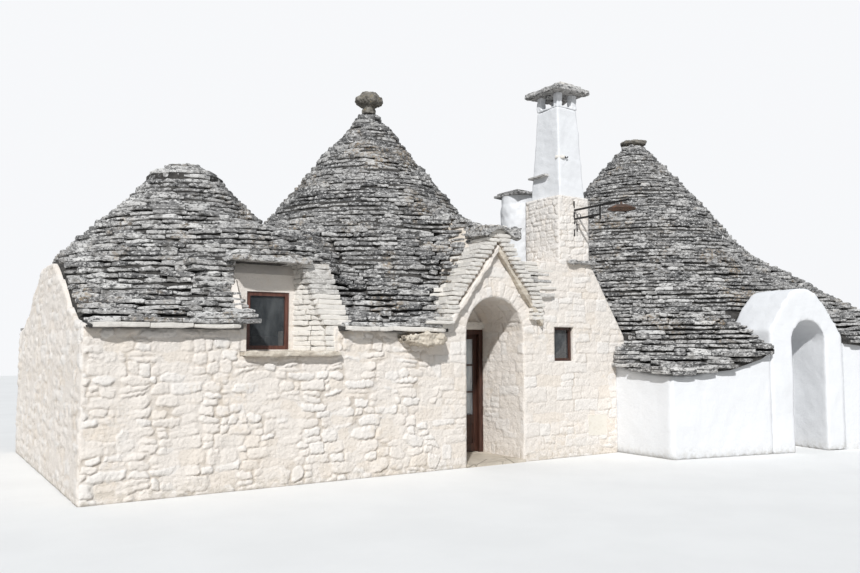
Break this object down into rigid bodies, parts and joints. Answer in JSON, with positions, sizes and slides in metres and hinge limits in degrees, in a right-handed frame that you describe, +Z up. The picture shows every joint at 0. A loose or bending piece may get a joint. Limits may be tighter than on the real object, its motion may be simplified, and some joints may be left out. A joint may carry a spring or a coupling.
{
  "type": "trullo house",
  "caption": "Dry stone house with conical slab roofs over a whitewashed street front, an arched porch with a hinged door, a dormer window and a chimney.",
  "frame": {"origin": "on the ground in the middle of the porch mouth, in the plane of the street front", "axes": "+X along the street front towards the white block, +Y into the house, +Z up"},
  "size_m": [13.6, 8.5803, 6.1655],
  "materials": {
    "whitewash_stone": "matte",
    "roof_stone": "matte",
    "pale_stone": "matte",
    "finial_stone": "matte",
    "white_plaster": "matte",
    "dark_wood": "satin",
    "red_brown_wood": "satin",
    "window_glass": "clear",
    "black_iron": "satin",
    "rusty_iron": "rough",
    "cream_paint": "matte",
    "floor_stone": "matte"
  },
  "bodies": {
    "house": {"floor": "floor_stone", "left_party_wall": "whitewash_stone", "front_wall_left": "whitewash_stone", "front_wall_middle": "whitewash_stone", "porch_left_pier": "whitewash_stone", "porch_right_pier": "whitewash_stone", "porch_gable": "whitewash_stone", "gable_rib_left": "pale_stone", "gable_rib_right": "pale_stone", "gable_cap_slab": "roof_stone", "porch_roof": "roof_stone", "door_head_wall": "whitewash_stone", "door_frame": "dark_wood", "window_wall": "whitewash_stone", "window_frame": "dark_wood", "window_glass": "window_glass", "meter_door": "cream_paint", "ledge_slab": "roof_stone", "chimney_base": "whitewash_stone", "chimney_shaft": "white_plaster", "chimney_vent": "white_plaster", "chimney_cap": "roof_stone", "flue_shoulder": "white_plaster", "lamp_bracket": "black_iron", "lamp_dish": "rusty_iron", "dormer_niche": "whitewash_stone", "dormer_hood": "roof_stone", "dormer_frame": "red_brown_wood", "dormer_glass": "window_glass", "dormer_sill": "pale_stone", "projecting_slab": "pale_stone", "white_corner_wall": "white_plaster", "white_gable_wall": "white_plaster", "arch_panel": "white_plaster", "right_end_wall": "whitewash_stone", "back_wall_left": "whitewash_stone", "back_wall_right": "whitewash_stone", "left_roof": "roof_stone", "middle_roof": "roof_stone", "right_roof": "roof_stone", "middle_finial": "finial_stone", "right_finial": "finial_stone"},
    "door": {"door_leaf": "dark_wood", "door_glass": "window_glass", "door_handle": "black_iron"}
  },
  "joints": [
    {"name": "door_hinge", "type": "hinge", "parent": "house", "child": "door", "pos_m": [0.4725, 1.131, 1], "axis": [0, 0, -1], "range_deg": [0, 90]}
  ]
}
